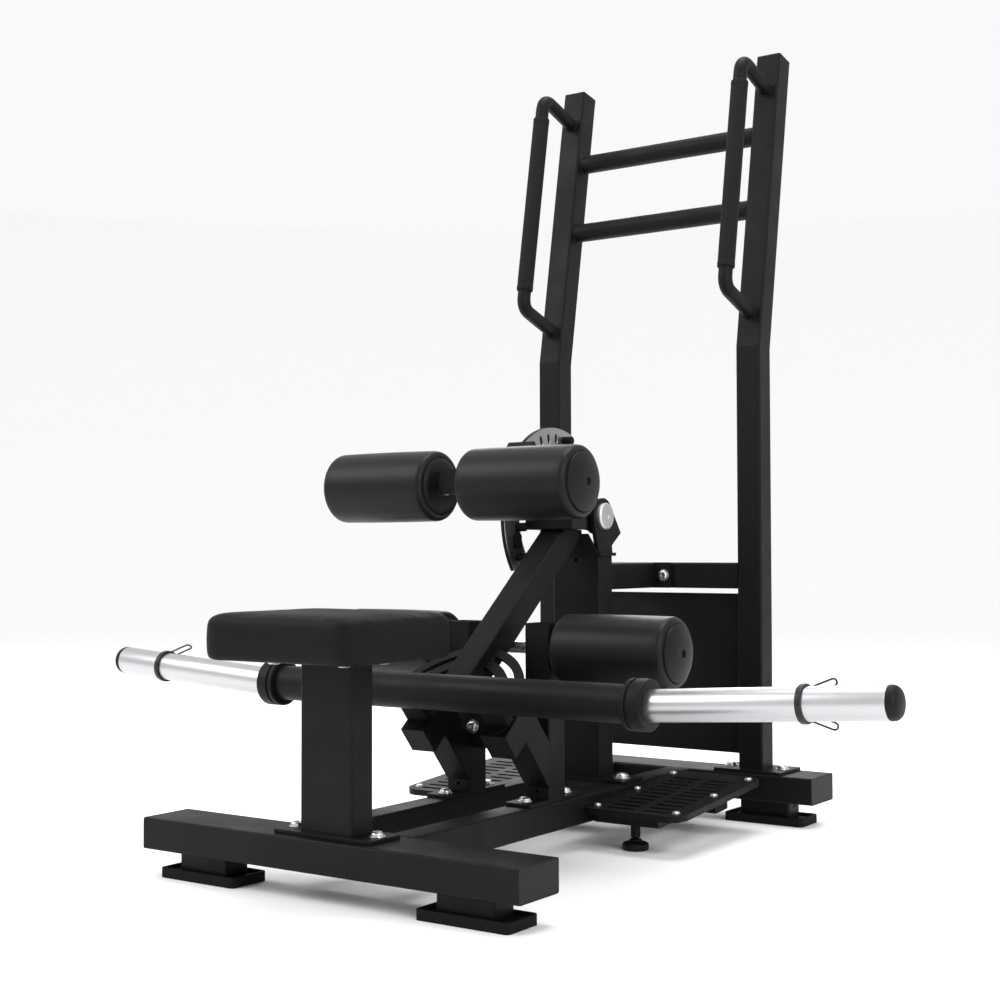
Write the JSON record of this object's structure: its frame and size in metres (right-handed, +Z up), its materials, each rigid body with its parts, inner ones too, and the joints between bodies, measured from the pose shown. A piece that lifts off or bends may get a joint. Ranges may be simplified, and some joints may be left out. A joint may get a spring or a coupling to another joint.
{
  "type": "hip thrust machine",
  "caption": "Plate loaded hip thrust machine with seat, swinging weight arm, indexed roller pad arm, foot plates and tall uprights with hand rails.",
  "frame": {"origin": "on the floor, midway between the left and right sides and midway between the seat end and the upright end", "axes": "+Z up, -Y towards the seat end, +X to the right seen from the seat end"},
  "size_m": [1.5456, 1.2407, 1.5037],
  "materials": {
    "black_powder_coat": "satin black powder coat on welded steel tube",
    "black_rubber": "moulded black rubber",
    "black_plastic": "fine textured black plastic",
    "black_leatherette": "soft black upholstery leatherette",
    "roller_skin": "smooth black skin over foam",
    "bright_sleeve": "satin turned bright steel",
    "index_steel": "silver lacquered steel",
    "bolt_steel": "bright zinc plated steel",
    "axle_cap": "satin turned aluminium"
  },
  "bodies": {
    "frame": {"back_panel": "black_powder_coat", "base_rails": "black_powder_coat", "foot_blocks": "black_powder_coat", "foot_plate_brackets": "black_powder_coat", "foot_plate_screws": "bolt_steel", "foot_trays": "black_rubber", "frame_bolts": "bolt_steel", "front_base_beam": "black_powder_coat", "handle_grips": "black_rubber", "left_foot_plate": "black_powder_coat", "left_handle": "black_powder_coat", "left_support_post": "black_powder_coat", "left_upright": "black_powder_coat", "lower_roller_axle": "bolt_steel", "main_axle": "axle_cap", "main_post": "black_powder_coat", "pivot_bracket": "black_powder_coat", "post_link_tube": "black_powder_coat", "post_tie": "black_powder_coat", "rear_base_beam": "black_powder_coat", "rear_cross_beam": "black_powder_coat", "rest_bumpers": "black_rubber", "right_foot_plate": "black_powder_coat", "right_handle": "black_powder_coat", "right_support_post": "black_powder_coat", "right_upright": "black_powder_coat", "rungs": "black_powder_coat", "seat_board": "black_plastic", "seat_pad": "black_leatherette", "seat_post": "black_powder_coat", "tube_end_caps": "black_plastic"},
    "weight_arm": {"arm_tube": "black_powder_coat", "arm_cross_tube": "black_powder_coat", "cross_tube_caps": "black_plastic", "arm_hub": "black_powder_coat", "fan_gusset": "black_powder_coat", "crossbar": "black_powder_coat", "sleeve_collars": "black_powder_coat", "weight_sleeves": "bright_sleeve", "sleeve_end_caps": "black_plastic", "sector_plate": "black_powder_coat", "index_plate": "index_steel", "sector_stops": "black_rubber", "arm_rest_pad": "black_rubber"},
    "pad_arm": {"pad_arm_beam": "black_powder_coat", "upper_roller_axle": "bolt_steel", "pin_carrier": "black_powder_coat"},
    "index_pin": {"index_pin": "black_plastic"},
    "left_levelling_foot": {"left_levelling_foot": "black_plastic"},
    "right_levelling_foot": {"right_levelling_foot": "black_plastic"},
    "left_spring_collar": {"left_spring_collar": "black_powder_coat"},
    "right_spring_collar": {"right_spring_collar": "black_powder_coat"},
    "upper_left_roller": {"upper_left_roller_foam": "roller_skin", "upper_left_roller_caps": "black_plastic"},
    "upper_right_roller": {"upper_right_roller_foam": "roller_skin", "upper_right_roller_caps": "black_plastic"},
    "lower_left_roller": {"lower_left_roller_foam": "roller_skin", "lower_left_roller_caps": "black_plastic"},
    "lower_right_roller": {"lower_right_roller_foam": "roller_skin", "lower_right_roller_caps": "black_plastic"}
  },
  "joints": [
    {"name": "weight_arm_swing", "type": "hinge", "parent": "frame", "child": "weight_arm", "pos_m": [0, 0.22, 0.58], "axis": [-1, 0, 0], "range_deg": [0, 50]},
    {"name": "pad_arm_swing", "type": "hinge", "parent": "weight_arm", "child": "pad_arm", "pos_m": [0, 0.22, 0.58], "axis": [-1, 0, 0], "range_deg": [0, 40]},
    {"name": "index_pin_push", "type": "slide", "parent": "pad_arm", "child": "index_pin", "axis": [1, 0, 0], "range_m": [0, 0.014]},
    {"name": "left_collar_slide", "type": "slide", "parent": "weight_arm", "child": "left_spring_collar", "axis": [-0.9978, 0, 0.0658], "range_m": [-0.22, 0.07]},
    {"name": "right_collar_slide", "type": "slide", "parent": "weight_arm", "child": "right_spring_collar", "axis": [0.9978, 0, 0.0658], "range_m": [-0.22, 0.09]},
    {"name": "left_levelling_turn", "type": "hinge", "parent": "frame", "child": "left_levelling_foot", "pos_m": [-0.181, 0.104, 0.03], "axis": [0, 0, 1], "continuous": true},
    {"name": "right_levelling_turn", "type": "hinge", "parent": "frame", "child": "right_levelling_foot", "pos_m": [0.181, 0.104, 0.03], "axis": [0, 0, 1], "continuous": true},
    {"name": "upper_left_roller_spin", "type": "hinge", "parent": "pad_arm", "child": "upper_left_roller", "pos_m": [-0.15, -0.171, 0.6255], "axis": [1, 0, 0], "continuous": true},
    {"name": "upper_right_roller_spin", "type": "hinge", "parent": "pad_arm", "child": "upper_right_roller", "pos_m": [0.15, -0.171, 0.6255], "axis": [1, 0, 0], "continuous": true},
    {"name": "lower_left_roller_spin", "type": "hinge", "parent": "frame", "child": "lower_left_roller", "pos_m": [-0.15, -0.03, 0.351], "axis": [1, 0, 0], "continuous": true},
    {"name": "lower_right_roller_spin", "type": "hinge", "parent": "frame", "child": "lower_right_roller", "pos_m": [0.15, -0.03, 0.351], "axis": [1, 0, 0], "continuous": true}
  ]
}
